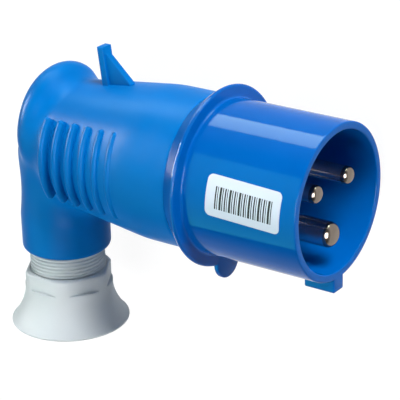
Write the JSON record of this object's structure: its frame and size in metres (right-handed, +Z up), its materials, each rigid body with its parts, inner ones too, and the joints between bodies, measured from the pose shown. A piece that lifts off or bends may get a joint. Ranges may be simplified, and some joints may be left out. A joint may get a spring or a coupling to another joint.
{
  "type": "angled industrial plug",
  "caption": "Round industrial plug with pins inside a keyed collar and a cable gland at a right angle, closed by a flared nut.",
  "frame": {"origin": "on the shroud's axis, at the front face of the flange", "axes": "+X out of the shroud's mouth, +Y towards the lid hook, away from the cable outlet, +Z up from the side that the plug lies on"},
  "size_m": [0.1115, 0.0881, 0.0508],
  "materials": {
    "gloss_blue": "glossy moulded polyamide, blue",
    "satin_blue": "satin moulded polyamide, blue",
    "pale_grey": "satin moulded polyamide, pale grey",
    "nickel": "turned brass with a bright nickel plate",
    "zinc_steel": "zinc-plated steel",
    "dark_moulding": "black moulded polyamide",
    "black_rubber": "black rubber",
    "label_white": "white paper sticker with a plastic film"
  },
  "bodies": {
    "plug_body": {"front_shroud": "gloss_blue", "elbow_housing": "satin_blue", "line_pin": "nickel", "neutral_pin": "nickel", "earth_pin": "nickel", "line_terminal_screw": "zinc_steel", "neutral_terminal_screw": "zinc_steel", "earth_terminal_screw": "zinc_steel", "contact_carrier": "dark_moulding", "carrier_cover": "dark_moulding", "carrier_screw": "zinc_steel", "housing_screw_near": "zinc_steel", "housing_screw_far": "zinc_steel", "joint_seal": "black_rubber", "gland_sleeve": "pale_grey", "sleeve_gasket": "black_rubber", "cable_seal": "black_rubber", "seal_washer": "pale_grey", "blank_label": "label_white"},
    "thrust_ring": {"clamp_ring": "pale_grey"},
    "nut": {"gland_nut": "pale_grey"}
  },
  "joints": [
    {"name": "ring_travel", "type": "slide", "parent": "plug_body", "child": "thrust_ring", "axis": [0, 1, 0], "range_m": [0, 0.0055]},
    {"name": "nut_turn", "type": "hinge", "parent": "thrust_ring", "child": "nut", "pos_m": [-0.05825, -0.049, 0], "axis": [0, 1, 0], "range_deg": [0, 1800]}
  ],
  "couplings": [
    {"joint": "ring_travel", "follows": "nut_turn", "m_per_rad": 0.00017507}
  ]
}
